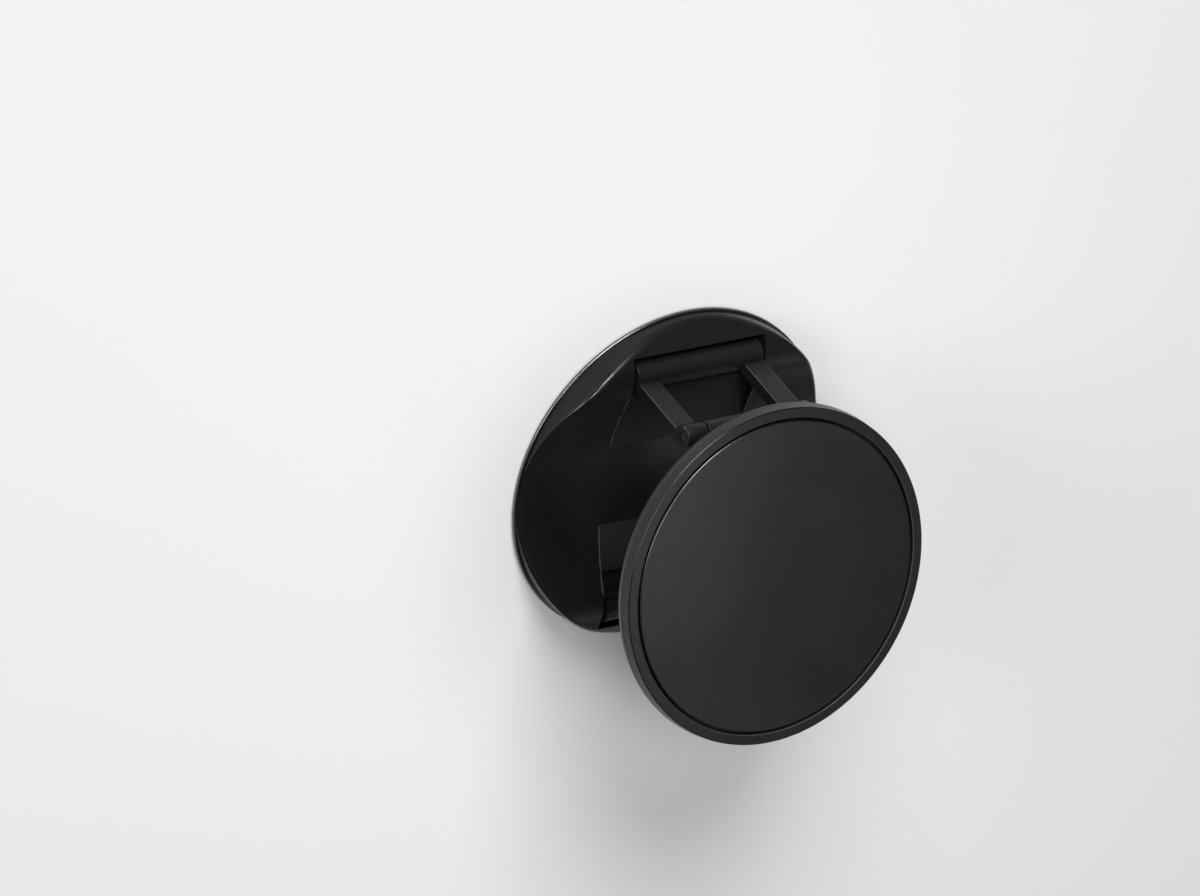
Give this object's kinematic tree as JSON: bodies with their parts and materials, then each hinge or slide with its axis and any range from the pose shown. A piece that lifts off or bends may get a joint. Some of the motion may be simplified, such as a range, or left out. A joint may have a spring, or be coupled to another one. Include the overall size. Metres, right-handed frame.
{
  "type": "folding phone holder",
  "caption": "Low round stick-on base and a round finger disc joined by folding two-piece legs; lifts as a grip or prop and folds flat.",
  "frame": {"origin": "centre of the sticky back face of the base", "axes": "+Z points away from the sticky face towards the head, +Y runs from the middle to the upper hinge, +X lies along the hinge pins"},
  "size_m": [0.0446, 0.0458, 0.0295],
  "materials": {
    "pad": "matte foam tape",
    "base": "satin black moulding",
    "leg": "satin black moulding",
    "link": "satin black moulding",
    "head": "satin black moulding",
    "cover": "satin black moulding",
    "film": "clear adhesive film",
    "disc": "fine matte black",
    "pin": "drawn steel"
  },
  "bodies": {
    "base": {"adhesive_pad": "pad", "base_housing": "base", "upper_base_pin": "pin", "lower_base_pin": "pin"},
    "upper_leg": {"upper_leg": "leg", "upper_knee_pin": "pin"},
    "upper_link": {"upper_link": "link", "upper_head_pin": "pin"},
    "head": {"head_shell": "head", "head_rear_cover": "cover", "front_disc": "disc", "disc_film": "film"},
    "lower_leg": {"lower_leg": "leg", "lower_knee_pin": "pin"},
    "lower_link": {"lower_link": "link", "lower_head_pin": "pin"}
  },
  "joints": [
    {"name": "upper_base_hinge", "type": "hinge", "parent": "base", "child": "upper_leg", "pos_m": [0, 0.0162, 0.0031], "axis": [1, 0, 0], "range_deg": [0, 79]},
    {"name": "upper_knee", "type": "hinge", "parent": "upper_leg", "child": "upper_link", "pos_m": [0, 0.01387, 0.01508], "axis": [1, 0, 0], "range_deg": [-238.9, 0]},
    {"name": "head_hinge", "type": "hinge", "parent": "upper_link", "child": "head", "pos_m": [0, 0.00758, 0.01739], "axis": [1, 0, 0], "range_deg": [0, 169.9]},
    {"name": "lower_base_hinge", "type": "hinge", "parent": "base", "child": "lower_leg", "pos_m": [0, -0.0162, 0.0031], "axis": [1, 0, 0], "range_deg": [-70.2, 0]},
    {"name": "lower_knee", "type": "hinge", "parent": "lower_leg", "child": "lower_link", "pos_m": [0, -0.01205, 0.01457], "axis": [1, 0, 0], "range_deg": [0, 147.8]}
  ],
  "couplings": [
    {"joint": "upper_knee", "follows": "upper_base_hinge", "ratio": -3.0228},
    {"joint": "head_hinge", "follows": "upper_base_hinge", "ratio": 2.1497},
    {"joint": "lower_base_hinge", "follows": "upper_base_hinge", "ratio": -0.88734},
    {"joint": "lower_knee", "follows": "upper_base_hinge", "ratio": 1.8693}
  ]
}
